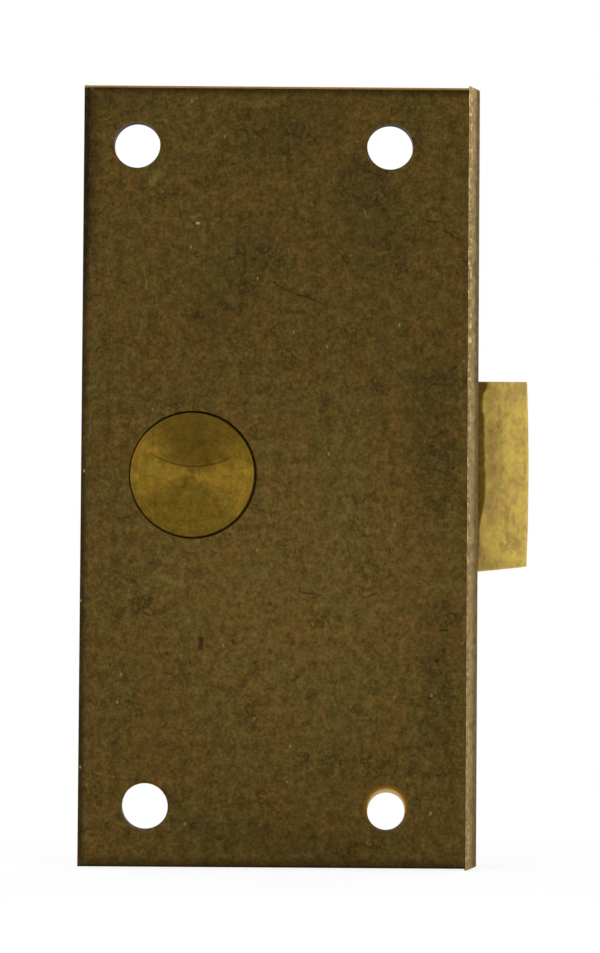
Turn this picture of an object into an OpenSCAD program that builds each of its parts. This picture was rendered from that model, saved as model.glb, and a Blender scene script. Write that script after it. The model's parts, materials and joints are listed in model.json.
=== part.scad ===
// Half-mortise cylinder deadlock: a screwed back plate and forend, with a case let into the door behind them.
// Millimetres. +X is the way the bolt is thrown, +Z is up, and +Y runs from the exposed face into the door.
// The origin is on the plug's axis, on the exposed face of the back plate. The bolt is drawn thrown.

/* [Back plate] */
// Height of the back plate
plate_h = 101.6; // [99:0.1:104]
// Width of the back plate, up to the forend
plate_w = 50.2; // [49.8:0.1:52.2]
// Thickness of the back plate
plate_t = 2.5; // [2.4:0.1:2.6]
// Diameter of the screw holes
screw_hole_d = 6; // [5.4:0.1:6.4]
// Height of the screw holes above and below the plug's axis
screw_hole_z = 43; // [41:0.1:45]
// Distance from the plug's axis to the two screw holes beside the forend
near_hole_x = 25.5; // [24:0.1:27]
// Distance from the plug's axis to the upper screw hole at the free edge
far_top_hole_x = 7.5; // [5:0.1:9]
// Distance from the plug's axis to the lower screw hole at the free edge
far_bottom_hole_x = 5.8; // [5:0.1:9]

/* [Forend] */
// Distance from the plug's axis to the forend's outer face
backset = 37.2; // [37:0.05:37.4]
// Thickness of the forend
forend_t = 1.45; // [1.35:0.05:1.6]
// How far the forend stands past the back plate at each end
forend_over = 0.25; // [0.1:0.05:0.5]

/* [Case] */
// Height of the case behind the back plate
case_h = 60; // [58:1:64]
// Depth of the case behind the back plate
case_depth = 13; // [13:0.1:13.6]
// Thickness of the case's side walls
wall_t = 1.8; // [1.6:0.1:1.9]

/* [Bolt] */
// Travel of the bolt
throw = 6.75; // [6.3:0.05:6.8]
// Height of the bolt's head
bolt_h = 24.85; // [24:0.05:25.4]
// Thickness of the bolt's head
head_t = 8; // [7.6:0.1:8.2]
// How far the middle of the head lies above the plug's axis
head_rise = 0.15; // [0:0.05:0.3]
// Loss of height along the lower edge of the projecting head
head_taper = 0.7; // [0.1:0.1:1]
// How far the head's end is rounded out at mid height
head_crown = 0.25; // [0.1:0.05:0.4]

/* [Cylinder] */
// Diameter of the turned disc in the back plate
disc_d = 16.15; // [16:0.05:16.4]
// Clearance of the disc in the back plate, on the diameter
disc_slack = 0.5; // [0.2:0.1:0.6]
// Diameter of the plug
plug_d = 12.7; // [12.6:0.05:12.8]
// Diameter of the cylinder's nose
nose_d = 22.2; // [22.2:0.1:22.4]
// Length of the cylinder past the case
nose_len = 19.5; // [19.5:0.5:24]
// Diameter of the tumbler pins
pin_d = 2.9; // [2.85:0.01:2.92]
// Distance between neighbouring tumbler pins
pin_pitch = 3.8; // [3.7:0.05:3.85]

/* [Hidden] */
$fn = 64;

dark_bronze = "#54441f";
worn_bronze = "#857150";
bright_brass = "#8f7628";
cast_brass = "#6f5a2b";
steel = "#8d8f92";
spring_steel = "#5d6066";

eps = 0.01;               // overlap that joins two solids of one piece
cut = 1;                  // how far a cut runs past the solid it goes through
press = 0.01;             // radial clearance of a fixed fit
running = 0.05;           // radial clearance of a turning fit
easy = 0.1;               // radial or side clearance of a loose fit
gap = 0.25;               // axial clearance between parts that move past each other
slot_w = 0.8;             // width of a screwdriver slot

// Back plate
plate_x1 = backset - forend_t;
plate_x0 = plate_x1 - plate_w;
free_bevel = [0.5, 0.3];          // width and depth of the bevel down the free edge
end_bevel = 0.3;
joint_bevel = [0.15, 0.1];
seat_floor = 1.3;                 // metal left under the posts' blind seats
narrow_hole_d = 4.9;              // the lower hole beside the forend narrows below its mouth, off centre
narrow_hole_drop = 0.5;
narrow_hole_mouth = 1;
disc_hole_shift = 0.1;            // the disc's hole is a little off centre, towards the forend

// Forend
forend_round = 1.8;               // radius of its exposed long edge
forend_end_cut = 0.55;            // its ends slope down to the outer face by this much
forend_h = plate_h + 2 * forend_over;

// Case
case_y1 = plate_t + case_depth;
floor_t = 2;
floor_y = case_y1 - floor_t;
case_inset = 1.3;                 // plate left uncovered at the free edge
case_x0 = plate_x0 + case_inset;
case_bevel = 1;
end_wall_t = 3.5;
end_wall_x = plate_x1 - end_wall_t;
case_screw_d = 2.6;
case_screw_len = 9.5;
case_screw_head = [5.2, 1.6];     // diameter and height
case_screw_room = 0.5;            // left beyond the screw's end in its pillar
forend_screw_d = 2.6;
forend_screw_head_d = 5.2;
forend_screw_head_t = 1.2;
forend_screw_sunk = 0.15;
forend_screw_z = 21;
forend_screw_y = 8.4;
pillar_d = 5;
pillar_neck_d = 3;
pillar_inset = pillar_d / 2 + 0.5;
pillar_z = case_h / 2 - wall_t - pillar_inset;
pillar_places = [
    for (x = [case_x0 + wall_t + pillar_inset, end_wall_x - pillar_inset], z = [-pillar_z, pillar_z]) [x, z]
];

// Bolt
head_way_slack = 0.15;
head_y0 = plate_t + head_way_slack;
head_inside = 7.6;                // length of the full-height head that stays inside the forend
head_x0 = backset - head_inside;
tip_x = backset + throw;
tip_bevel = 0.35;
tip_steps = 5;
tail_t = 3.5;
tail_y0 = 4.75;
tail_y1 = tail_y0 + tail_t;
tail_h = 20;
tail_web = 3.2;                   // metal beyond the crank slot

// Crank that turns the plug's quarter turn into the throw
crank_r = throw / sqrt(2);
crank_xz = [crank_r * sin(45), crank_r * cos(45)];
crank_d = 2.4;
crank_seat = 1.2;                 // depth at which its seat in the disc starts
crank_in_plug = 1.7;
crank_slack = 0.2;                // takes up the difference between the crank's sine motion and an even feed
crank_slot = [crank_d + 2 * crank_slack, 2 * (crank_r + crank_d / 2 + 0.5)];

// Posts that guide the bolt's tail
guide_d = 4;
guide_x = 18;
guide_z = 6.2;
guide_shoulder_d = 5.5;
guide_neck_d = 3;
guide_head_d = 4.4;
guide_head_t = 0.9;
guide_slot = [guide_d + throw + 6 * easy, guide_d + 2 * easy];
washer_d = 7;
washer_t = 0.8;
washer_y0 = tail_y1 + easy;

// Bow spring that steadies the bolt's tail
bow_t = 0.5;
bow_w = 3;
bow_y0 = tail_y0 + 0.25;
bow_r = 17;
bow_facets = 180;
bow_half_angle = 34;
bow_x = 11.5;
bow_gap = 0.03;
bow_centre_z = tail_h / 2 + bow_gap + bow_t / 2 + bow_r;
spring_post_d = 2.5;
spring_post_over = 0.6;           // length past the spring
eye_r = spring_post_d / 2 + running + bow_t / 2;
eye_x = (bow_r - eye_r) * sin(bow_half_angle);
eye_z = bow_centre_z - (bow_r - eye_r) * cos(bow_half_angle);

// Turned disc, plug and cylinder body, along the depth axis
collar_d = disc_d + 3.2;
collar_y0 = plate_t + running;
collar_y1 = tail_y0 - gap;
disc_bevel = 0.12;
plug_y0 = tail_y1 + gap;
plug_rear_d = plug_d - 0.1;
plug_rear_len = 2.15;
clip_t = 0.6;
clip_d = 15.5;
clip_mouth = 8.8;
clip_groove_d = 10.7;
clip_groove = [plug_y0 + plug_rear_len, plug_y0 + plug_rear_len + clip_t + 2 * running];
clip_gap = 0.15;
body_y0 = clip_groove[1] + clip_gap;
body_y1 = case_y1 + nose_len;
shoulder_d = 14;
shoulder_t = 1.1;
nose_bevel = 0.6;
spigot_d = nose_d + 0.4;          // fits the hole in the case's floor
nose_z = 3.75;                    // the nose sits above the plug, to hold the tumblers' chambers
ear_reach = 14.5;
ear_r = 3.5;
cylinder_screw_d = 2.5;
cylinder_screw_head = [4.4, 1.2];

// Tumblers, drawn as a fitting key holds them
chamber_d = pin_d + 0.06;
chamber_floor = -0.7;
first_pin = 4.2;                  // from the nose's end face to the first pin
pin_bevel = 0.2;
tip_len = 0.9;
tip_d = 1;
pin_tips = [0.6, 1.4, 0.9, 2, 1.2];       // height of each key pin's tip
shear_gap = 0.1;                  // pins stop this far from the shear line
key_pin_top = plug_d / 2 - shear_gap;
driver_z = plug_d / 2 + running + shear_gap;
driver_len = 3.7;
cover_z = 13.2;
cover_t = 1.2;
cover_w = 3.6;
cover_past_pin = 2;
cover_y = [floor_y + 2 * easy, body_y1 - first_pin + cover_past_pin];
coil_r = 1.1;
coil_wire_r = 0.16;
coil_turns = 4.5;
coil_steps = 14;
coil_sides = 6;
coil_gap = 0.04;

function pin_y(i) = body_y1 - first_pin - i * pin_pitch;

// Extrudes an outline drawn in x and z from depth y0 to depth y1
module slab(y0, y1) {
    translate([0, y1, 0]) rotate([90, 0, 0]) linear_extrude(y1 - y0) children();
}

// Round bar along the depth axis, tapered if a second diameter is given
module rod(y0, y1, d, d_end = undef) {
    translate([0, y0, 0]) rotate([-90, 0, 0])
        cylinder(h = y1 - y0, d1 = d, d2 = is_undef(d_end) ? d : d_end);
}

// Places children at a point given in x and z
module at(xz) {
    translate([xz[0], 0, xz[1]]) children();
}

module at_pillars() {
    for (place = pillar_places) at(place) children();
}

module at_guides() {
    for (z = [-guide_z, guide_z]) at([guide_x, z]) children();
}

module at_spring_posts() {
    for (side = [-1, 1]) at([bow_x + side * eye_x, eye_z]) children();
}

module at_ears() {
    for (side = [-1, 1]) at([0, nose_z + side * ear_reach]) children();
}

// Turns children, drawn along +Z, to run along +X through the forend's screw holes
module at_forend_screws() {
    for (z = [-forend_screw_z, forend_screw_z])
        translate([0, forend_screw_y, z]) rotate([0, 90, 0]) children();
}

// Outline of a slot with round ends, size[0] wide and size[1] high over all
module stadium(size) {
    d = min(size[0], size[1]);
    ends = [size[0] - d, size[1] - d] / 2;
    square([max(2 * ends[0], ends[1] > 0 ? d : 0), max(2 * ends[1], ends[0] > 0 ? d : 0)], center = true);
    for (side = [-1, 1]) translate(side * ends) circle(d = d);
}

// Block whose edges round the face at y_face are bevelled; left and right give a bevel's width and depth
module bevelled_block(x0, x1, h, y_face, y_base, left, right, ends) {
    inward = sign(y_base - y_face);
    intersection() {
        translate([0, 0, -h / 2]) linear_extrude(h) polygon([
            [x0, y_base], [x0, y_face + inward * left[1]], [x0 + left[0], y_face],
            [x1 - right[0], y_face], [x1, y_face + inward * right[1]], [x1, y_base]
        ]);
        translate([x0, 0, 0]) rotate([90, 0, 90]) linear_extrude(x1 - x0) polygon([
            [y_base, -h / 2], [y_face + inward * ends, -h / 2], [y_face, ends - h / 2],
            [y_face, h / 2 - ends], [y_face + inward * ends, h / 2], [y_base, h / 2]
        ]);
    }
}

// Slotted screw along +Y with its head before y = 0; head gives its diameter and height
module slotted_screw(head, shank_d, shank_len) {
    slot_depth = 0.55 * head[1];
    difference() {
        union() {
            rod(-head[1], -head[1] / 2, head[0] - head[1], head[0]);
            rod(-head[1] / 2 - eps, 0, head[0]);
            rod(-eps, shank_len, shank_d);
        }
        translate([-head[0], -head[1] - cut, -slot_w / 2]) cube([2 * head[0], cut + slot_depth, slot_w]);
    }
}

// Passage for the bolt's head
module bolt_way(x0, x1) {
    size = [x1 - x0, head_t + 2 * head_way_slack, bolt_h + 2 * head_way_slack];
    translate([x0, head_y0 - head_way_slack, head_rise - size[2] / 2]) cube(size);
}

module back_plate() {
    straight_holes = [
        [near_hole_x, screw_hole_z], [-far_top_hole_x, screw_hole_z], [-far_bottom_hole_x, -screw_hole_z]
    ];
    color(dark_bronze) difference() {
        bevelled_block(plate_x0, plate_x1, plate_h, 0, plate_t, free_bevel, joint_bevel, end_bevel);
        for (hole = straight_holes) at(hole) rod(-cut, plate_t + cut, screw_hole_d);
        at([near_hole_x, -screw_hole_z]) rod(-cut, narrow_hole_mouth, screw_hole_d);
        at([near_hole_x, -screw_hole_z - narrow_hole_drop]) rod(0, plate_t + cut, narrow_hole_d);
        at([disc_hole_shift, 0]) rod(-cut, plate_t + cut, disc_d + disc_slack);
        at_guides() rod(seat_floor, plate_t + cut, guide_d + 2 * press);
        at_spring_posts() rod(seat_floor, plate_t + cut, spring_post_d + 2 * press);
        at_pillars() rod(seat_floor, plate_t + cut, pillar_neck_d + 2 * press);
    }
}

module forend() {
    z1 = forend_h / 2;
    color(worn_bronze) difference() {
        intersection() {
            translate([plate_x1, 0, -z1]) linear_extrude(forend_h) intersection() {
                square([forend_t, case_y1]);
                translate([0, forend_round]) union() {
                    circle(r = forend_round);
                    square([forend_t, case_y1]);
                }
            }
            slab(-cut, case_y1 + cut) polygon([
                [plate_x1, -z1], [backset, forend_end_cut - z1],
                [backset, z1 - forend_end_cut], [plate_x1, z1]
            ]);
        }
        bolt_way(plate_x1 - cut, backset + cut);
        at_forend_screws() {
            translate([0, 0, plate_x1 - cut])
                cylinder(h = forend_t + 2 * cut, d = forend_screw_d + 2 * easy);
            translate([0, 0, plate_x1 + eps])
                cylinder(h = forend_t, d1 = forend_screw_d + 2 * easy, d2 = forend_screw_head_d + 4 * easy);
        }
    }
}

module forend_screws() {
    x0 = end_wall_x + gap;
    x1 = backset - forend_screw_sunk;
    color(cast_brass) at_forend_screws() difference() {
        union() {
            translate([0, 0, x0]) cylinder(h = x1 - x0 - forend_screw_head_t / 2, d = forend_screw_d);
            translate([0, 0, x1 - forend_screw_head_t])
                cylinder(h = forend_screw_head_t, d1 = forend_screw_d, d2 = forend_screw_head_d);
        }
        translate([-slot_w / 2, -forend_screw_head_d, x1 - forend_screw_head_t / 2])
            cube([slot_w, 2 * forend_screw_head_d, forend_screw_head_t]);
    }
}

module case_shell() {
    inside_h = case_h - 2 * wall_t;
    color(cast_brass) difference() {
        bevelled_block(
            case_x0, plate_x1, case_h, case_y1, plate_t, [case_bevel, case_bevel], joint_bevel, case_bevel
        );
        translate([case_x0 + wall_t, plate_t - cut, -inside_h / 2])
            cube([end_wall_x - case_x0 - wall_t, case_depth - floor_t + cut, inside_h]);
        bolt_way(end_wall_x - cut, plate_x1 + cut);
        at([0, nose_z]) rod(floor_y - cut, case_y1 + cut, spigot_d + 2 * press);
        at_pillars() rod(floor_y - cut, case_y1 + cut, case_screw_d + 2 * easy);
        at_ears() rod(floor_y - cut, case_y1 + cut, cylinder_screw_d + 2 * press);
        at_forend_screws() translate([0, 0, end_wall_x - cut])
            cylinder(h = end_wall_t + 2 * cut, d = forend_screw_d + 2 * press);
    }
}

module case_pillars() {
    color(cast_brass) at_pillars() difference() {
        union() {
            rod(seat_floor + press, plate_t + eps, pillar_neck_d);
            rod(plate_t, floor_y, pillar_d);
        }
        rod(case_y1 - case_screw_len - case_screw_room, floor_y + cut, case_screw_d + 2 * press);
    }
}

module case_screws() {
    color(steel) at_pillars() translate([0, case_y1, 0]) rotate([180, 0, 0])
        slotted_screw(case_screw_head, case_screw_d, case_screw_len);
}

module bolt() {
    z1 = head_rise + bolt_h / 2;
    z_root = z1 - bolt_h;
    z0 = z_root + head_taper;
    tail_x0 = crank_xz[0] - crank_slot[0] / 2 - tail_web;
    tip = [
        for (step = [-tip_steps : tip_steps])
            let (f = step / tip_steps) [tip_x - head_crown * f * f, (z0 + z1) / 2 + f * (z1 - z0) / 2]
    ];
    color(bright_brass) difference() {
        union() {
            intersection() {
                slab(head_y0, head_y0 + head_t)
                    polygon(concat([[head_x0, z1], [head_x0, z_root], [backset, z_root]], tip));
                bevelled_tip();
            }
            slab(tail_y0, tail_y1)
                translate([tail_x0, -tail_h / 2]) square([head_x0 + eps - tail_x0, tail_h]);
        }
        slab(tail_y0 - cut, tail_y1 + cut) translate([crank_xz[0], 0]) stadium(crank_slot);
        at_guides() slab(tail_y0 - cut, tail_y1 + cut) translate([throw / 2, 0]) stadium(guide_slot);
    }
}

// Room for the bolt's head, bevelled along both long edges of its end
module bevelled_tip() {
    y1 = head_y0 + head_t;
    translate([0, 0, -bolt_h]) linear_extrude(2 * bolt_h) polygon([
        [head_x0, head_y0], [tip_x - tip_bevel, head_y0], [tip_x, head_y0 + tip_bevel],
        [tip_x, y1 - tip_bevel], [tip_x - tip_bevel, y1], [head_x0, y1]
    ]);
}

// Posts riveted into the back plate, peened over their washers
module guide_posts() {
    washer_y1 = washer_y0 + washer_t;
    color(steel) at_guides() {
        rod(seat_floor + press, washer_y0, guide_d);
        rod(plate_t, tail_y0 - easy, guide_shoulder_d);
        rod(washer_y0 - eps, washer_y1, guide_neck_d);
        rod(washer_y1 - eps, washer_y1 + guide_head_t, guide_head_d, guide_neck_d);
    }
}

module guide_washers() {
    color(cast_brass) at_guides() difference() {
        rod(washer_y0, washer_y0 + washer_t - eps, washer_d);
        rod(washer_y0 - cut, washer_y0 + washer_t + cut, guide_neck_d + 2 * press);
    }
}

// Flat spring bowed against the top of the bolt's tail, with an eye round a post at each end
module bow_spring() {
    reach = 2 * bow_r * [sin(bow_half_angle), -cos(bow_half_angle)];
    color(spring_steel) slab(bow_y0, bow_y0 + bow_w) translate([bow_x, 0]) {
        translate([0, bow_centre_z]) intersection() {
            ring(bow_r, bow_facets);
            polygon([[0, 0], [-reach[0], reach[1]], reach]);
        }
        for (side = [-1, 1]) translate([side * eye_x, eye_z]) difference() {
            ring(eye_r, $fn);
            rotate(side > 0 ? 20 : 70) square(2 * eye_r);
        }
    }
}

// Strip of spring bent to a circle, seen on edge
module ring(r, facets) {
    difference() {
        circle(r = r + bow_t / 2, $fn = facets);
        circle(r = r - bow_t / 2, $fn = facets);
    }
}

module spring_posts() {
    color(steel) at_spring_posts() rod(seat_floor + press, bow_y0 + bow_w + spring_post_over, spring_post_d);
}

// Turned disc that shows in the back plate, and carries the outer end of the crank pin
module cam_disc() {
    color(bright_brass) difference() {
        union() {
            rod(0, disc_bevel, disc_d - 2 * disc_bevel, disc_d);
            rod(disc_bevel - eps, collar_y0 + eps, disc_d);
            rod(collar_y0, collar_y1, collar_d);
        }
        at(crank_xz) rod(crank_seat, collar_y1 + cut, crank_d + 2 * press);
    }
}

module crank_pin() {
    color(steel) at(crank_xz) rod(crank_seat + press, plug_y0 + crank_in_plug, crank_d);
}

// Plug, turned with a clip groove at the back and a shoulder at the key's end
module plug() {
    color(bright_brass) difference() {
        union() {
            rod(plug_y0, clip_groove[0], plug_rear_d);
            rod(clip_groove[0] - eps, clip_groove[1] + eps, clip_groove_d);
            rod(clip_groove[1], body_y1, plug_d);
            rod(body_y1 - shoulder_t, body_y1, shoulder_d);
        }
        keyway();
        for (i = [0 : len(pin_tips) - 1]) translate([0, pin_y(i), chamber_floor])
            cylinder(h = plug_d, d = chamber_d);
        at(crank_xz) rod(plug_y0 - cut, plug_y0 + crank_in_plug + press, crank_d + 2 * press);
    }
}

// Key's passage, with a ward on each side
module keyway() {
    slab(body_y0 + cut, body_y1 + cut) polygon([
        [-0.8, -5.4], [0.9, -5.4], [0.9, -3.2], [0.3, -2.6], [0.3, -0.9], [1.1, -0.3], [1.1, 3.9],
        [-0.5, 3.9], [-0.5, 1.4], [-1.1, 0.8], [-1.1, -1.6], [-0.8, -1.9]
    ]);
}

// Spring clip that keeps the plug in the cylinder body
module plug_clip() {
    y0 = clip_groove[0] + running;
    color(spring_steel) slab(y0, y0 + clip_t) difference() {
        circle(d = clip_d);
        circle(d = clip_groove_d + 2 * press);
        translate([-clip_mouth / 2, -clip_d]) square([clip_mouth, clip_d]);
    }
}

module cylinder_body() {
    color(cast_brass) difference() {
        union() {
            at([0, nose_z]) {
                rod(body_y0, case_y1, spigot_d);
                rod(case_y1 - eps, body_y1 - nose_bevel, nose_d);
                rod(body_y1 - nose_bevel - eps, body_y1, nose_d, nose_d - 2 * nose_bevel);
            }
            slab(body_y0, floor_y) translate([0, nose_z]) stadium([2 * ear_r, 2 * (ear_reach + ear_r)]);
        }
        rod(body_y0 - cut, body_y1 + cut, plug_d + 2 * running);
        rod(body_y1 - shoulder_t - easy, body_y1 + cut, shoulder_d + 2 * easy);
        for (i = [0 : len(pin_tips) - 1]) translate([0, pin_y(i), 0])
            cylinder(h = cover_z + eps, d = chamber_d);
        translate([-cover_w / 2 - press, cover_y[0] - press, cover_z])
            cube([cover_w + 2 * press, cover_y[1] - cover_y[0] + 2 * press, nose_d]);
        at_ears() rod(body_y0 - cut, floor_y + cut, cylinder_screw_d + 2 * easy);
    }
}

module cylinder_screws() {
    color(steel) at_ears() translate([0, body_y0, 0])
        slotted_screw(cylinder_screw_head, cylinder_screw_d, case_y1 - body_y0 - gap);
}

// Strip staked over the tumblers' chambers
module chamber_cover() {
    color(bright_brass) translate([-cover_w / 2, cover_y[0], cover_z + press])
        cube([cover_w, cover_y[1] - cover_y[0], cover_t]);
}

// Round bar along +Z with both ends bevelled
module pin_bar(z0, z1) {
    translate([0, 0, z0]) cylinder(h = pin_bevel, d1 = pin_d - 2 * pin_bevel, d2 = pin_d);
    translate([0, 0, z0 + pin_bevel - eps]) cylinder(h = z1 - z0 - 2 * pin_bevel + 2 * eps, d = pin_d);
    translate([0, 0, z1 - pin_bevel]) cylinder(h = pin_bevel, d1 = pin_d, d2 = pin_d - 2 * pin_bevel);
}

// Lower pin, which rides in the plug and rests on the key
module key_pin(i) {
    color(bright_brass) translate([0, pin_y(i), 0]) {
        translate([0, 0, pin_tips[i]]) cylinder(h = tip_len, d1 = tip_d, d2 = pin_d);
        pin_bar(pin_tips[i] + tip_len - pin_bevel, key_pin_top);
    }
}

// Upper pin, which stays in the cylinder body
module driver_pin(i) {
    color(steel) translate([0, pin_y(i), 0]) pin_bar(driver_z, driver_z + driver_len);
}

// Coil spring between a driver pin and the chamber cover
module pin_spring(i) {
    clear = coil_wire_r + coil_gap;
    z0 = driver_z + driver_len + clear;
    z1 = cover_z - clear;
    rings = coil_turns * coil_steps;
    points = [
        for (k = [0 : rings], s = [0 : coil_sides - 1])
            let (turn = 360 * k / coil_steps, around = 360 * s / coil_sides)
            let (r = coil_r + coil_wire_r * cos(around))
            [r * cos(turn), r * sin(turn), z0 + (z1 - z0) * k / rings + coil_wire_r * sin(around)]
    ];
    sides = [
        for (k = [0 : rings - 1], s = [0 : coil_sides - 1])
            let (a = k * coil_sides, n = (s + 1) % coil_sides)
            [a + s, a + coil_sides + s, a + coil_sides + n, a + n]
    ];
    ends = [
        [for (s = [0 : coil_sides - 1]) s],
        [for (s = [coil_sides - 1 : -1 : 0]) rings * coil_sides + s]
    ];
    color(spring_steel) translate([0, pin_y(i), 0]) polyhedron(points, concat(sides, ends));
}

back_plate();
forend();
forend_screws();
case_shell();
case_pillars();
case_screws();
bolt();
guide_posts();
guide_washers();
bow_spring();
spring_posts();
cam_disc();
crank_pin();
plug();
plug_clip();
cylinder_body();
cylinder_screws();
chamber_cover();
key_pin(0);  // key_pin_1
key_pin(1);  // key_pin_2
key_pin(2);  // key_pin_3
key_pin(3);  // key_pin_4
key_pin(4);  // key_pin_5
driver_pin(0);  // driver_pin_1
driver_pin(1);  // driver_pin_2
driver_pin(2);  // driver_pin_3
driver_pin(3);  // driver_pin_4
driver_pin(4);  // driver_pin_5
pin_spring(0);  // pin_spring_1
pin_spring(1);  // pin_spring_2
pin_spring(2);  // pin_spring_3
pin_spring(3);  // pin_spring_4
pin_spring(4);  // pin_spring_5
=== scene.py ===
"""Half-mortise cylinder deadlock: finishes, coil springs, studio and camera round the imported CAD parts.

The frame is in metres. Finishes work in millimetres of the same frame: x is the way the bolt is thrown,
y runs into the door from the exposed face of the back plate, z is up, and the origin is on the plug's axis.
"""
import json
import math

import bpy
from mathutils import Matrix, Vector


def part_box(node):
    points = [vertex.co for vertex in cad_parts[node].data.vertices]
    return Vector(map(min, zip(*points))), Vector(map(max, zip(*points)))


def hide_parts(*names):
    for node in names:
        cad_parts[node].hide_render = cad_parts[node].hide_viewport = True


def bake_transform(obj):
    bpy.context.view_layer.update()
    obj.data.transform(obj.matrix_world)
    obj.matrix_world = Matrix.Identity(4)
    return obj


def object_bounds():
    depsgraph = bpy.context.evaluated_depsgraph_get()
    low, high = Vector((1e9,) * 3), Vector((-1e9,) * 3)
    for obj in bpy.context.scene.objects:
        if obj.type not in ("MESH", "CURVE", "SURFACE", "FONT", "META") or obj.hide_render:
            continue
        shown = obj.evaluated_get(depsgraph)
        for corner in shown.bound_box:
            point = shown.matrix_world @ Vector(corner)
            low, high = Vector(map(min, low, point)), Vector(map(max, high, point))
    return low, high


MM = 0.001

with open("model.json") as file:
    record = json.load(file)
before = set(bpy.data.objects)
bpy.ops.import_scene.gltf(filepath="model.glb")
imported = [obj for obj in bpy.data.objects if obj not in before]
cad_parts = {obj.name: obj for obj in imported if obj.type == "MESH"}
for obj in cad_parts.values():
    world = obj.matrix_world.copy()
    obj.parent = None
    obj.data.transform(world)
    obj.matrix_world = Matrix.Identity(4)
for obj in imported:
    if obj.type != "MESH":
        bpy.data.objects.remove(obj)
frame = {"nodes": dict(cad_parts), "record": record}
cad_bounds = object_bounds()
nodes = frame["nodes"]


def box_mm(node):
    """Lowest and highest corners of a CAD node, in millimetres."""
    low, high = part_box(node)
    return low / MM, high / MM


def numbered(stem):
    """Names of the CAD nodes that start with a stem and end in a number."""
    return sorted(name for name in nodes if name.startswith(stem))


def place_in_scene(name, data):
    """Adds an object to the scene."""
    thing = bpy.data.objects.new(name, data)
    bpy.context.scene.collection.objects.link(thing)
    return thing


def srgb(red, green, blue):
    """A display colour, 0 to 255 a channel, as the linear colour that a node takes."""
    def linear(level):
        level /= 255
        return level / 12.92 if level <= 0.04045 else ((level + 0.055) / 1.055) ** 2.4
    return linear(red), linear(green), linear(blue), 1.0


class Nodes:
    """Builds a shader node tree. Its methods take sockets or values and return sockets."""

    def __init__(self, tree):
        self.tree = tree
        tree.nodes.clear()

    def add(self, kind, inputs=None, output=0, **settings):
        """Adds a node, feeds its inputs with sockets or values, and returns an output, if it has one."""
        node = self.tree.nodes.new("ShaderNode" + kind)
        for key, value in settings.items():
            setattr(node, key, value)
        for key, value in (inputs or {}).items():
            if isinstance(value, bpy.types.NodeSocket):
                self.tree.links.new(value, node.inputs[key])
            else:
                node.inputs[key].default_value = value
        return node.outputs[output] if node.outputs else None

    def math(self, operation, a, b=0.0, clamp=False):
        return self.add("Math", {0: a, 1: b}, operation=operation, use_clamp=clamp)

    def plus(self, a, b):
        return self.math("ADD", a, b)

    def minus(self, a, b):
        return self.math("SUBTRACT", a, b)

    def times(self, a, b):
        return self.math("MULTIPLY", a, b)

    def absolute(self, a):
        """A number without its sign."""
        return self.math("ABSOLUTE", a)

    def vector(self, operation, a, b=(0, 0, 0), scale=1.0, output=0):
        return self.add("VectorMath", {0: a, 1: b, 3: scale}, output, operation=operation)

    def length(self, a):
        return self.vector("LENGTH", a, output=1)

    def distance(self, a, b):
        return self.vector("DISTANCE", a, b, output=1)

    def dot(self, a, b):
        return self.vector("DOT_PRODUCT", a, b, output=1)

    def ramp(self, value, start, end, low=0.0, high=1.0):
        """Smooth step from low, where value is start, to high, where it is end."""
        inputs = {"Value": value, "From Min": start, "From Max": end, "To Min": low, "To Max": high}
        return self.add("MapRange", inputs, interpolation_type="SMOOTHSTEP")


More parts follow.
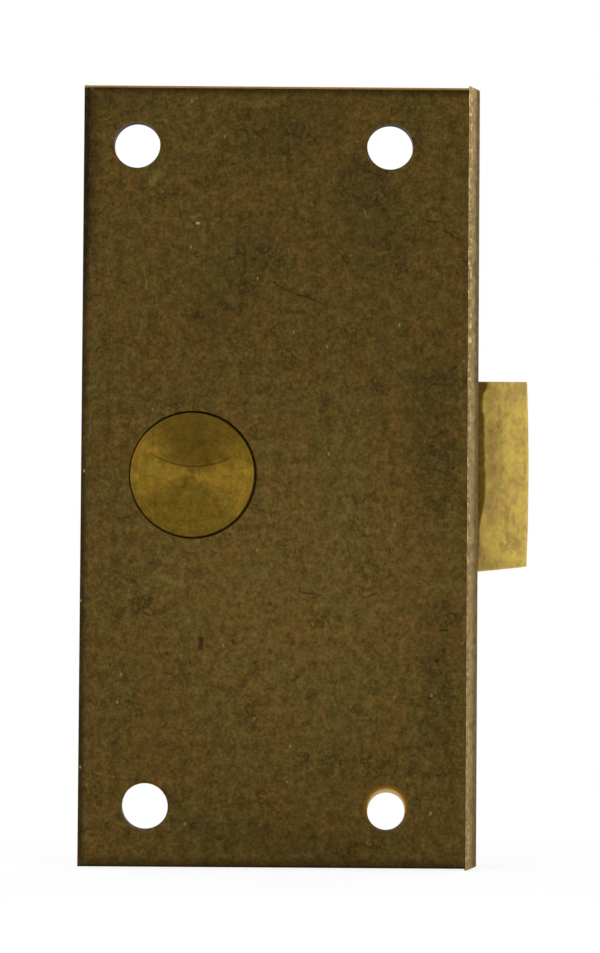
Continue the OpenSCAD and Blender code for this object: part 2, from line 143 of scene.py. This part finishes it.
class Finish(Nodes):
    """A procedural material. Lengths given to its methods are in millimetres."""

    def __init__(self, name):
        self.material = bpy.data.materials.new(name)
        self.material.use_nodes = True
        super().__init__(self.material.node_tree)
        self.place = self.vector("SCALE", self.add("TexCoord", output="Object"), scale=1 / MM)
        self.x, self.y, self.z = self.add("SeparateXYZ", {0: self.place}).node.outputs
        self.flat = self.add("CombineXYZ", {0: self.x, 2: self.z})

    def mix(self, factor, a, b):
        """Mixes two colours."""
        return self.add("Mix", {0: factor, 6: a, 7: b}, output=2, data_type="RGBA")

    def mix_value(self, factor, a, b):
        """Mixes two numbers."""
        return self.add("Mix", {0: factor, 2: a, 3: b}, data_type="FLOAT")

    def scale_colour(self, colour, value):
        return self.vector("SCALE", colour, scale=value)

    def mark(self, colour, shade, mask, strength):
        """Lays a shade over a colour as strongly as the mask times the strength."""
        return self.mix(self.times(mask, strength), colour, shade)

    def blotch(self, colour, shade, pattern, start, end, strength=1.0):
        """Lays a shade over a colour, fading in to its strength as a pattern goes from start to end."""
        return self.mix(self.ramp(pattern, start, end, 0, strength), colour, shade)

    def mottle(self, colour, pattern, spread, reach=0.3):
        """Darkens and lightens a colour by up to spread, as a pattern strays by up to reach from 0.5."""
        level = self.ramp(pattern, 0.5 - reach, 0.5 + reach, 1 - spread, 1 + spread)
        return self.scale_colour(colour, level)

    def noise(self, size, detail=3.0, roughness=0.55, stretch=(1, 1, 1), seed=0.0):
        """Noise about 0.5 with features size across; stretch is how much longer they are along each axis."""
        shrink = tuple(1 / (size * factor) for factor in stretch)
        place = self.vector("MULTIPLY", self.place, shrink)
        place = self.vector("ADD", place, (seed, 2 * seed, 3 * seed))
        inputs = {"Vector": place, "Scale": 1.0, "Detail": detail, "Roughness": roughness}
        return self.add("TexNoise", inputs)

    def specks(self, spacing, size, seed):
        """1 inside small upright spots on the exposed face, at most one to a cell, up to size across."""
        upright = 1.6
        place = self.add("CombineXYZ", {0: self.x, 1: self.math("DIVIDE", self.z, upright)})
        place = self.vector("ADD", self.vector("SCALE", place, scale=1 / spacing), (seed, seed, 0))
        inputs = {"Vector": place, "Scale": 1.0}
        cells = self.add("TexVoronoi", inputs, voronoi_dimensions="2D").node.outputs
        chance = self.add("SeparateColor", {0: cells["Color"]})
        radius = self.ramp(chance, 0.5, 1.0, 0.0, size / spacing / 2)
        return self.ramp(self.minus(radius, cells["Distance"]), 0.0, size / spacing / 4)

    def line(self, start, end, width, wobble=0.0):
        """1 on a line across the exposed face between two (x, z) points, fading out over its width."""
        a, b = Vector((start[0], 0, start[1])), Vector((end[0], 0, end[1]))
        along = b - a
        drift = self.times(self.minus(self.noise(1.5, 2.0, seed=7.0), 0.5), 2 * wobble)
        point = self.add("CombineXYZ", {0: self.plus(self.x, drift), 2: self.plus(self.z, drift)})
        offset = self.vector("SUBTRACT", point, a)
        share = self.math("DIVIDE", self.dot(offset, along), along.length_squared, clamp=True)
        away = self.distance(offset, self.vector("SCALE", along, scale=share))
        return self.ramp(away, width / 2, width / 6)

    def lines(self, marks, wobble):
        """The strongest of several lines, each given as (start, end, width)."""
        strongest = 0.0
        for start, end, width in marks:
            strongest = self.math("MAXIMUM", strongest, self.line(start, end, width, wobble))
        return strongest

    def facing(self, direction):
        """How squarely a face looks along a direction: 1 straight along it, 0 side on."""
        return self.dot(self.add("NewGeometry", output="Normal"), direction)

    def edge(self, reach):
        """1 on an edge between faces, fading to 0 at reach from it."""
        rounded = self.add("Bevel", {"Radius": reach * MM}, samples=6)
        return self.ramp(self.facing(rounded), 0.995, 0.8)

    def crevice(self, reach):
        """1 in deep corners, 0 in the open: ambient occlusion, for painting shade into corners."""
        openness = self.add("AmbientOcclusion", {"Distance": reach * MM}, output="AO", samples=6)
        return self.ramp(openness, 0.9, 0.35)

    def finish(self, colour, roughness, relief, metallic=1.0, **extra):
        """Ends the material; relief is the height of its surface in millimetres."""
        inputs = {"Base Color": colour, "Metallic": metallic, "Roughness": roughness}
        inputs["Normal"] = self.add("Bump", {"Height": relief, "Distance": MM})
        inputs.update(extra)
        return self.surface(self.add("BsdfPrincipled", inputs))

    def surface(self, shader):
        """Makes a shader the material's surface."""
        self.add("OutputMaterial", {"Surface": shader})
        return self.material


def dress(material, *names):
    """Gives CAD nodes a material."""
    for name in names:
        mesh = nodes[name].data
        for index in range(len(mesh.materials)):
            mesh.materials[index] = material


def plate_tarnish(f):
    """Olive and brown tarnish with a fine grain, lighter below and beside the disc, partly rubbed paler and
    partly a painted pool of light.
    """
    colour = f.blotch(srgb(89, 69, 31), srgb(86, 70, 32), f.noise(8, 3, 0.6, seed=1), 0.42, 0.58)
    colour = f.blotch(colour, srgb(94, 66, 33), f.noise(1.5, 2, 0.6, seed=2), 0.5, 0.68, 0.5)
    colour = f.blotch(colour, srgb(78, 71, 29), f.noise(1.3, 2, 0.6, seed=3), 0.5, 0.68, 0.5)
    # Lighter round a point below and beside the disc: partly tarnish rubbed paler, partly a painted pool of
    # light.
    from_rubbed_and_lit = f.distance(f.place, (14, 0, -13))
    colour = f.scale_colour(colour, f.ramp(from_rubbed_and_lit, 34, 4, 0.97, 1.23))
    colour = f.mottle(colour, f.noise(1.5, 4, 0.86, seed=4), 0.53)
    return f.mottle(colour, f.noise(0.5, 2, 0.7, seed=5), 0.33)


def plate_smears(f, colour):
    """Broad dark smears, and fine cracks in the tarnish that gather in them."""
    smears = [
        ((22, 38), (24, 31), 12), ((8, 44), (16, 46), 10), ((31, 12), (31, -2), 9), ((32, -18), (32, -34), 6),
        ((2, 20), (8, 30), 9), ((-13, 48.5), (-7, 48.5), 4), ((0, -46), (20, -48), 6),
    ]
    smeared = f.lines(smears, 2.5)
    colour = f.mark(colour, srgb(50, 43, 25), smeared, 0.2)
    from_crack = f.absolute(f.minus(f.noise(3.0, 4, 0.65, seed=15), 0.5))
    gathered = f.plus(f.noise(5.0, 2, seed=16), f.times(smeared, 0.12))
    cracked = f.ramp(gathered, 0.53, 0.66, 0, 0.55)
    return f.mark(colour, srgb(40, 33, 19), f.ramp(from_crack, 0.03, 0.01), cracked)


def plate_borders(f, colour):
    """Grime along the outer edges, a painted highlight on the top rim, and a broken worn line beside the free
    edge.
    """
    low, high = box_mm("back_plate")
    bevel_w, worn_line = 0.5, 1.0
    from_side = f.minus(f.x, low.x)
    bevelled = f.ramp(from_side, bevel_w + 0.04, bevel_w - 0.04, 0, 0.45)
    side = f.plus(f.ramp(from_side, 1.3, 0.55, 0, 0.4), bevelled)
    upper = f.times(f.ramp(from_side, 2.6, 0.8, 0, 0.45), f.ramp(f.z, 22, 34))
    top = f.ramp(f.z, high.z - 1.6, high.z - 0.2, 0, 0.75)
    foot = f.ramp(f.z, low.z + 1.7, low.z, 0, 0.62)
    side = f.math("ADD", side, upper, clamp=True)
    grime = f.math("MAXIMUM", side, f.math("MAXIMUM", top, foot))
    patchy = f.ramp(f.noise(0.9, 3, 0.6, seed=6), 0.3, 0.5, 0.86, 1)
    colour = f.mark(colour, srgb(32, 23, 10), grime, patchy)
    # Painted highlight along the top rim, where its edge would catch the light.
    colour = f.blotch(colour, srgb(140, 106, 54), f.z, high.z - 0.4, high.z - 0.15, 0.85)
    worn = f.ramp(f.absolute(f.minus(from_side, worn_line)), 0.4, 0.1)
    broken = f.ramp(f.noise(0.8, 3, 0.8, stretch=(1, 1, 2.5), seed=14), 0.48, 0.68, 0, 0.6)
    return f.mark(colour, srgb(112, 99, 76), worn, broken)


def plate_marks(f, colour):
    """Scratches, pits, pale scuffs and a nick on the exposed face, and specks all over."""
    front = f.ramp(f.y, 0.6, 0.4)
    scratches = [
        ((10.1, 25.2), (13.2, 23.7), 0.28), ((13.2, 23.7), (16.8, 22.4), 0.28),
        ((30.4, 33.2), (32.5, 33.2), 0.25), ((32.5, 32.1), (34.5, 31.0), 0.28),
        ((14.0, -15.1), (17.0, -15.5), 0.22), ((22.3, -15.8), (24.0, -15.3), 0.25),
    ]
    pits = [
        ((1.3, -21.2), (1.3, -22.4), 0.9), ((-0.2, -24.3), (-0.1, -24.4), 0.55),
        ((8.3, -24.3), (8.4, -24.3), 0.55), ((13.2, -26.6), (14.0, -26.1), 0.5),
        ((31.9, -23.9), (32.0, -23.9), 0.6), ((32.3, -20.0), (33.2, -20.0), 0.5),
        ((4.9, 40.6), (5.1, 40.6), 0.5),
    ]
    colour = f.mark(colour, srgb(34, 26, 15), f.lines(scratches + pits, 0.3), f.times(front, 0.65))
    scuffs = [
        ((-5.6, 38.0), (-4.7, 39.2), 1.3), ((-4.6, -13.0), (-0.9, -14.4), 1.1),
        ((-3.0, -13.8), (-1.0, -14.3), 0.9), ((-6.4, 27.3), (-6.1, 23.9), 0.2),
        ((13.9, -26.8), (14.6, -26.2), 0.35), ((4.2, -29.8), (4.4, -31.2), 0.2),
        ((-5.9, -14.9), (-5.7, -14.9), 0.6), ((24.2, 29.0), (25.2, 29.2), 0.6),
        ((18.1, 38.9), (18.3, 38.5), 0.4), ((15.2, 35.6), (15.4, 35.1), 0.4),
        ((22.2, 34.7), (22.4, 33.9), 0.35), ((-0.8, 32.7), (-0.4, 32.4), 1.0),
        ((-0.2, 33.6), (0.7, 33.9), 0.6), ((-0.9, 32.5), (-0.7, 32.4), 0.5),
    ]
    broken = f.ramp(f.noise(0.9, 4, 0.8, seed=10), 0.35, 0.65, 0.1, 0.5)
    colour = f.mark(colour, srgb(130, 116, 58), f.lines(scuffs, 0.5), f.times(front, broken))
    nick = f.line((0.4, 32.8), (0.55, 32.8), 0.5)
    colour = f.mark(colour, srgb(178, 164, 118), nick, f.times(front, 0.75))
    colour = f.mark(colour, srgb(44, 32, 16), f.specks(2.6, 0.5, seed=1), 0.5)
    return f.mark(colour, srgb(150, 128, 78), f.specks(4.5, 0.42, seed=9), 0.6)


def screw_hole_masks(f):
    """How far in from the rim of the nearest screw hole, and 1 inside the holes, behind the exposed face."""
    holes = [mount for mount in frame["record"]["mounts"] if mount["name"].startswith("screw_hole")]
    mouth_row = max(mount["pos_m"][2] for mount in holes) / MM
    mouth_r = max(mount["dims"]["r_mm"] for mount in holes)
    farther_than_all = 1000.0
    off = farther_than_all
    for mount in holes:
        mouth = (mount["pos_m"][0] / MM, 0, math.copysign(mouth_row, mount["pos_m"][2]))
        off = f.math("MINIMUM", off, f.distance(f.flat, mouth))
    inside = f.times(f.ramp(f.y, 0.05, 0.35), f.math("LESS_THAN", off, mouth_r + 0.05))
    return f.minus(mouth_r, off), inside


def tarnished_bronze():
    """Back plate: marked tarnish over bronze; inside the screw holes, brass ledges with painted shading and
    walls painted dark as shade.
    """
    f = Finish("tarnished_bronze")
    colour = plate_marks(f, plate_borders(f, plate_smears(f, plate_tarnish(f))))
    from_rim, inside = screw_hole_masks(f)
    ledge = f.ramp(f.facing((0, -1, 0)), 0.2, 0.6)
    # Painted shading on the ledges: dark amber at the rim, paling further in to a painted reflection of the
    # white surroundings, as a sloping bore wall would look.
    brass_painted_shading = f.mix(f.ramp(from_rim, 0.35, 0.75), srgb(132, 94, 26), srgb(196, 172, 108))
    # The walls inside the holes are painted dark, as shade.
    colour = f.mix(inside, colour, f.mix(ledge, srgb(44, 33, 18), brass_painted_shading))
    wall = f.times(inside, f.minus(1.0, ledge))
    roughness = f.ramp(f.noise(2.5, 4, seed=9), 0.3, 0.7, 0.5, 0.62)
    roughness = f.mix_value(wall, f.mix_value(inside, roughness, 0.45), 0.8)
    relief = f.times(f.noise(0.5, 4, 0.65, seed=8), 0.016)
    return f.finish(colour, roughness, relief, metallic=f.mix_value(wall, 1.0, 0.2))


def worn_bronze():
    """Forend: grey-brown, painted lighter and darker across its edge, and rubbed bright along its exposed
    long edge, with painted glints there.
    """
    f = Finish("worn_bronze")
    low, high = box_mm("forend")
    upright = (1, 1, 1.6)
    colour = f.mix(f.noise(2.2, 3, stretch=(1, 1, 3), seed=1), srgb(122, 103, 68), srgb(140, 119, 78))
    colour = f.blotch(colour, srgb(104, 86, 54), f.noise(0.9, 3, seed=2), 0.5, 0.7, 0.6)
    colour = f.mottle(colour, f.noise(0.5, 4, 0.8, upright, seed=6), 0.4)
    # Painted shading across the forend's edge: lighter by the seam with the plate, darker towards its outer
    # side, as a rounded edge would be lit.
    outer_painted_shade = f.ramp(f.z, -5.0, 15.0, 0.7, 0.62)
    across = f.ramp(f.x, low.x + 0.35, high.x - 0.45)
    colour = f.scale_colour(colour, f.mix_value(across, 1.25, outer_painted_shade))
    colour = f.scale_colour(colour, f.ramp(f.z, 33.0, 46.0, 1.0, 1.2))
    # The ridge by the seam is rubbed bare and painted with glints of light, more of them towards the top.
    ridge = f.times(f.ramp(f.x, low.x + 0.6, low.x + 0.25), f.ramp(f.z, -20.0, 30.0, 0.35, 1.0))
    sparkle = f.ramp(f.noise(0.6, 3, 0.8, upright, seed=3), 0.47, 0.66)
    colour = f.mark(colour, srgb(230, 212, 160), ridge, sparkle)
    colour = f.blotch(colour, srgb(88, 70, 36), f.y, 1.2, 3.0, 0.75)
    roughness = f.ramp(f.noise(1.2, 3, seed=5), 0.3, 0.7, 0.46, 0.6)
    return f.finish(colour, roughness, f.times(f.noise(0.4, 4, 0.65, seed=4), 0.012))


def bolt_grime_and_shadow(f, colour, face_x):
    """Dark grime and a painted shadow of the forend, which reach about a millimetre out of the forend, and
    less and less towards the foot.
    """
    reach = f.plus(f.ramp(f.z, -10.5, -1.0, 0.0, 0.9), f.ramp(f.z, 4.0, 9.0, 0.0, -0.25))
    reach = f.plus(reach, f.ramp(f.z, 10.8, 12.0, 0.0, 0.6))
    beyond = f.minus(f.minus(f.x, face_x), reach)
    beyond = f.plus(beyond, f.ramp(f.noise(2.0, 2, seed=9), 0.3, 0.7, -0.1, 0.1))
    strength = f.ramp(f.noise(0.8, 3, seed=10), 0.3, 0.6, 0.82, 0.97)
    # The dark band is partly grime and partly a painted shadow cast by the forend.
    return f.mark(colour, srgb(94, 70, 16), f.ramp(beyond, 0.3, -0.12), strength)


def bright_brass():
    """Bolt: bright and mottled, duller on the end that strikes and painted darker there as shade, with grime
    and a painted shadow where it leaves the forend, and painted highlights on its edges.
    """
    f = Finish("bright_brass")
    face_x, tip_x = box_mm("forend")[1].x, box_mm("bolt")[1].x
    streaks = f.noise(2.4, 2, 0.6, (1, 1, 2.0), seed=1)
    colour = f.blotch(srgb(176, 147, 79), srgb(200, 173, 84), streaks, 0.4, 0.6)
    short_streaks = f.noise(1.1, 2, 0.6, (1, 1, 2.2), seed=2)
    colour = f.blotch(colour, srgb(158, 130, 68), short_streaks, 0.48, 0.66, 0.7)
    colour = f.blotch(colour, srgb(194, 177, 78), f.noise(1.0, 1, 0.6, seed=7), 0.5, 0.7, 0.5)
    colour = f.blotch(colour, srgb(204, 163, 94), f.noise(1.1, 1, 0.6, seed=8), 0.5, 0.7, 0.5)
    colour = f.scale_colour(colour, f.ramp(f.x, face_x + 1.5, tip_x - 1.0, 0.9, 1.14))
    colour = f.mottle(colour, f.noise(0.45, 3, 0.7, (1, 1, 1.6), seed=3), 0.18)
    colour = bolt_grime_and_shadow(f, colour, face_x)
    spots = [((38.8, 6.1), (38.9, 6.1), 0.45), ((40.3, 4.6), (40.4, 4.6), 0.4)]
    colour = f.mark(colour, srgb(104, 78, 40), f.lines(spots, 0.3), 0.5)
    stains = [
        ((39.0, 1.0), (39.4, 6.5), 2.6), ((41.0, -5.2), (41.0, -8.0), 1.0),
        ((38.6, -11.4), (42.4, -11.4), 1.6),
    ]
    colour = f.mark(colour, srgb(112, 86, 44), f.lines(stains, 1.0), 0.22)
    # The end face is duller where it strikes, and painted darker as shade, to set it off from the front face.
    end_face = f.ramp(f.facing((1, 0, 0)), 0.8, 0.95)
    struck_and_shaded = f.times(end_face, f.ramp(f.noise(3.0, 3, seed=12), 0.3, 0.6, 0.7, 1.0))
    colour = f.mark(colour, srgb(116, 92, 48), struck_and_shaded, 0.7)
    # Edges lightened: partly wear, partly a painted highlight.
    colour = f.mark(colour, srgb(214, 190, 116), f.edge(0.4), 0.6)
    roughness = f.ramp(f.noise(1.4, 3, seed=5), 0.3, 0.7, 0.38, 0.48)
    return f.finish(colour, roughness, f.times(f.noise(0.4, 3, 0.6, seed=4), 0.008))


def disc_scratch(f, colour):
    """Dark stain in the upper half of the disc, which ends below in a shallow curved scratch."""
    arc_centre, arc_radius, half_span = (0.2, 0, 11.6), 10.5, 5.5
    from_centre = f.distance(f.flat, arc_centre)
    stain = f.times(f.ramp(from_centre, arc_radius, arc_radius - 0.5), f.ramp(f.x, half_span, 1.0))
    stain = f.times(stain, f.ramp(f.x, -half_span, -1.0))
    colour = f.mark(colour, srgb(84, 62, 22), stain, 0.45)
    scratch = f.ramp(f.absolute(f.minus(from_centre, arc_radius)), 0.2, 0.05)
    scratch = f.times(scratch, f.ramp(f.absolute(f.x), 5.6, 4.2, 0, 0.6))
    below_top = f.math("LESS_THAN", f.z, 4.0)
    return f.mark(colour, srgb(58, 44, 14), scratch, below_top)


def disc_brass():
    """Turned disc: mottled, with faint rings towards its rim and the highlight that turning gives."""
    f = Finish("disc_brass")
    radius = f.length(f.flat)
    ring_place = f.add("CombineXYZ", {0: f.times(radius, 3.2)})
    rings = f.add("TexNoise", {"Vector": ring_place, "Detail": 3.0, "Scale": 1.0})
    colour = f.blotch(srgb(112, 91, 30), srgb(120, 94, 30), f.noise(2.5, 3, seed=1), 0.35, 0.65)
    ring_level = f.ramp(rings, 0.3, 0.7, 0.86, 1.14)
    colour = f.scale_colour(colour, f.mix_value(f.ramp(radius, 3.0, 7.0), 1.0, ring_level))
    colour = f.mottle(colour, f.noise(1.4, 5, 0.85, seed=2), 0.48, reach=0.25)
    colour = f.blotch(colour, srgb(128, 84, 34), f.noise(1.6, 3, 0.7, seed=3), 0.5, 0.72, 0.55)
    colour = f.blotch(colour, srgb(100, 98, 32), f.noise(1.4, 3, 0.7, seed=4), 0.52, 0.75, 0.5)
    colour = disc_scratch(f, colour)
    spots = [((0.1, 3.6), (1.4, 4.3), 1.4), ((-5.2, 4.0), (-5.1, 4.0), 0.5), ((2.5, 3.9), (2.6, 3.9), 0.5)]
    colour = f.mark(colour, srgb(66, 46, 16), f.lines(spots, 0.4), 0.4)
    tangent = f.add("Tangent", direction_type="RADIAL", axis="Y")
    turned = {"Anisotropic": 0.85, "Anisotropic Rotation": 0.25, "Tangent": tangent}
    return f.finish(colour, 0.45, f.times(rings, 0.006), **turned)


def cast_brass():
    """Case, its pillars, washers and forend screws: rough brass, painted dark brown in corners as shade, and
    rubbed on edges.
    """
    f = Finish("cast_brass")
    colour = f.blotch(srgb(112, 90, 45), srgb(134, 108, 54), f.noise(9, 4, seed=1), 0.38, 0.62)
    colour = f.blotch(colour, srgb(104, 78, 40), f.noise(2.5, 3, 0.6, seed=5), 0.5, 0.7, 0.6)
    colour = f.blotch(colour, srgb(80, 62, 34), f.noise(1.0, 4, 0.7, seed=2), 0.52, 0.7, 0.65)
    colour = f.mottle(colour, f.noise(0.4, 3, 0.8, seed=6), 0.3)
    # Painted shade in corners and recesses, found by ambient occlusion.
    colour = f.mix(f.crevice(4), colour, srgb(50, 39, 22))
    colour = f.mark(colour, srgb(190, 160, 92), f.edge(0.5), 0.85)
    roughness = f.ramp(f.noise(2, 3, seed=4), 0.3, 0.7, 0.44, 0.6)
    return f.finish(colour, roughness, f.times(f.noise(0.6, 4, 0.6, seed=3), 0.06), metallic=0.9)


def turned_brass():
    """Cylinder, cover, plug and key pins: lathe marks round the axis, light tarnish, brighter edges."""
    f = Finish("turned_brass")
    marks_per_mm = 4
    radial, deep = f.times(f.length(f.flat), marks_per_mm), f.times(f.y, marks_per_mm)
    lathe_place = f.add("CombineXYZ", {0: radial, 1: deep})
    lathe = f.add("TexNoise", {"Vector": lathe_place, "Scale": 1.0, "Detail": 2.0})
    colour = f.blotch(srgb(170, 142, 74), srgb(152, 124, 62), f.noise(5, 3, seed=1), 0.38, 0.62)
    colour = f.blotch(colour, srgb(112, 88, 46), f.noise(1.5, 4, 0.6, seed=2), 0.52, 0.75, 0.6)
    colour = f.mottle(colour, lathe, 0.1, reach=0.2)
    # Painted shade in corners and recesses, found by ambient occlusion.
    colour = f.mix(f.crevice(2), colour, srgb(60, 46, 24))
    colour = f.mark(colour, srgb(222, 194, 120), f.edge(0.35), 0.7)
    roughness = f.ramp(f.noise(1.8, 3, seed=4), 0.3, 0.7, 0.3, 0.42)
    return f.finish(colour, roughness, f.times(lathe, 0.012))


def steel(name, shade, roughness):
    """Screws, posts, driver pins and springs: plain steel with faint stains."""
    f = Finish(name)
    colour = f.blotch(shade, srgb(112, 104, 92), f.noise(1.5, 4, 0.6, seed=1), 0.45, 0.7)
    # Painted shade in corners and recesses, found by ambient occlusion.
    colour = f.mix(f.crevice(0.8), colour, srgb(48, 42, 36))
    return f.finish(colour, roughness, f.times(f.noise(0.3, 3, seed=2), 0.008))


def coil_mesh(name, axis, low, high, coil_radius, wire_radius, turns):
    """Closed mesh of a compression spring along z, its end turns wound close."""
    steps_per_turn, sides, closed_turns = 28, 10, 1.0
    count = round(turns * steps_per_turn)
    # a closed turn rises by the wire's thickness and a hair, so that it doesn't touch the next
    closed_rise = 2.1 * wire_radius
    open_low, open_high = low + closed_rise * closed_turns, high - closed_rise * closed_turns
    verts, faces = [], []
    for k in range(count + 1):
        turn = k / steps_per_turn
        from_end = min(turn, turns - turn)
        if from_end < closed_turns:
            rise = closed_rise * from_end
            z = low + rise if turn < turns / 2 else high - rise
        else:
            share = (turn - closed_turns) / (turns - 2 * closed_turns)
            z = open_low + share * (open_high - open_low)
        angle = math.tau * turn
        for side in range(sides):
            around = math.tau * side / sides
            radius = coil_radius + wire_radius * math.cos(around)
            x = axis.x + radius * math.cos(angle)
            y = axis.y + radius * math.sin(angle)
            verts.append((x, y, z + wire_radius * math.sin(around)))
    for k in range(count):
        for side in range(sides):
            a, b = k * sides + side, k * sides + (side + 1) % sides
            faces.append((a, a + sides, b + sides, b))
    faces.append(tuple(range(sides)))
    faces.append(tuple(count * sides + side for side in reversed(range(sides))))
    mesh = bpy.data.meshes.new(name)
    mesh.from_pydata(verts, [], faces)
    mesh.polygons.foreach_set("use_smooth", [len(face) == 4 for face in faces])
    return mesh


def coil_springs(material):
    """Stands a wound spring in for each CAD spring."""
    wire_radius, turns = 0.16 * MM, 5.5
    for node in numbered("pin_spring_"):
        number = node.removeprefix("pin_spring_")
        low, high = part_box(node)
        axis = (low + high) / 2
        coil_radius = (high.x - low.x) / 2 - wire_radius
        first, last = low.z + wire_radius, high.z - wire_radius
        mesh = coil_mesh(f"coil_spring_{number}", axis, first, last, coil_radius, wire_radius, turns)
        mesh.materials.append(material)
        spring = place_in_scene(mesh.name, mesh)
        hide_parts(node)
        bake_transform(spring)


def soften(width, *names):
    """Rounds the sharp edges of CAD nodes a little, as handling does; width is in millimetres."""
    same_point, sharp = 0.002 * MM, math.radians(40)
    for name in names:
        weld = nodes[name].modifiers.new("weld", "WELD")
        weld.merge_threshold = same_point
        bevel = nodes[name].modifiers.new("worn_edges", "BEVEL")
        bevel.width = width * MM
        bevel.segments = 2
        bevel.limit_method = "ANGLE"
        bevel.angle_limit = sharp


def surroundings():
    """White for the camera; for the metal, light that is weaker from above and below than from the sides."""
    world = bpy.data.worlds.new("studio")
    world.use_nodes = True
    w = Nodes(world.node_tree)
    direction = w.add("TexCoord", output="Generated")
    slope = w.absolute(w.add("SeparateXYZ", {0: direction}, output="Z"))
    fill = w.add("Background", {"Strength": w.ramp(slope, 0.05, 0.75, 1.0, 0.25)})
    white = w.add("Background", {"Color": (1, 1, 1, 1)})
    seen = w.add("LightPath", output="Is Camera Ray")
    w.add("OutputWorld", {"Surface": w.add("MixShader", {0: seen, 1: fill, 2: white})})
    bpy.context.scene.world = world


def soft_boxes():
    """Rectangular lamps that stand round the object and face its centre."""
    low, high = cad_bounds
    centre = (low + high) / 2
    # offset from the centre and size, both in metres, and power in watts
    boxes = {
        "left": ((-0.55, -0.45, 0.15), (0.35, 0.6), 3.2),
        "right": ((0.6, -0.35, 0.1), (0.3, 0.6), 2.0),
        "above": ((0.0, -0.1, 0.6), (0.6, 0.6), 2.5),
        "behind_left": ((-0.5, 0.5, 0.2), (0.4, 0.5), 2.5),
        "behind_right": ((0.45, 0.55, 0.25), (0.4, 0.5), 2.5),
    }
    for name, (offset, size, power) in boxes.items():
        light = bpy.data.lights.new(name, "AREA")
        light.shape, light.size, light.size_y, light.energy = "RECTANGLE", *size, power
        lamp = place_in_scene(name, light)
        lamp.location = centre + Vector(offset)
        lamp.rotation_euler = (centre - lamp.location).to_track_quat("-Z", "Y").to_euler()


def floor():
    """Pale floor under the object, lifted towards white for the camera, so that only a soft shadow shows."""
    reach, gap = 3.0, 0.02 * MM
    level = cad_bounds[0].z - gap
    mesh = bpy.data.meshes.new("floor")
    corners = [(-reach, -reach), (reach, -reach), (reach, reach), (-reach, reach)]
    mesh.from_pydata([(x, y, level) for x, y in corners], [], [(0, 1, 2, 3)])
    f = Finish("pale_floor")
    pale = f.add("BsdfDiffuse", {"Color": (0.86, 0.86, 0.86, 1)})
    white = f.add("Emission", {"Color": (1, 1, 1, 1), "Strength": 1.0})
    away = f.length(f.add("CombineXYZ", {0: f.x, 1: f.y}))
    lifted = f.add("MixShader", {0: f.ramp(away, 60, 260, 0.88, 1.0), 1: pale, 2: white})
    seen = f.add("LightPath", output="Is Camera Ray")
    mesh.materials.append(f.surface(f.add("MixShader", {0: seen, 1: pale, 2: lifted})))
    place_in_scene("floor", mesh)


def camera():
    """Long lens, nearly square on to the exposed face and a little below the middle of the plate."""
    distance, height, aside = 450 * MM, -17.84 * MM, 11.98 * MM
    yaw, pitch, roll = math.radians(-0.26), math.radians(2.254), math.radians(-0.407)
    turn = Matrix.Rotation(yaw, 3, "Z") @ Matrix.Rotation(pitch, 3, "X") @ Matrix.Rotation(roll, 3, "Y")
    upright = turn @ Matrix.Rotation(math.radians(90), 3, "X")
    data = bpy.data.cameras.new("camera")
    data.sensor_width, data.lens = 36, 130.95
    data.clip_start, data.clip_end = 0.01, 20
    cam = place_in_scene("camera", data)
    cam.matrix_world = Matrix.Translation((aside, -distance, height)) @ upright.to_4x4()
    bpy.context.scene.camera = cam


CAST = ["case_shell", "case_pillars", "forend_screws", "guide_washers"]
TURNED = ["plug", "cylinder_body", "chamber_cover"] + numbered("key_pin_")
STEEL = ["case_screws", "guide_posts", "spring_posts", "crank_pin", "cylinder_screws"]
STEEL += numbered("driver_pin_")
HANDLED = ["bolt", "forend", "case_shell"]

dress(tarnished_bronze(), "back_plate")
dress(worn_bronze(), "forend")
dress(bright_brass(), "bolt")
dress(disc_brass(), "cam_disc")
dress(cast_brass(), *CAST)
dress(turned_brass(), *TURNED)
dress(steel("screw_steel", srgb(150, 148, 144), 0.34), *STEEL)
spring_steel = steel("spring_steel", srgb(104, 106, 112), 0.3)
dress(spring_steel, "bow_spring", "plug_clip")
coil_springs(spring_steel)
soften(0.3, *HANDLED)
surroundings()
soft_boxes()
floor()
camera()
bpy.context.scene.view_settings.view_transform = "Standard"
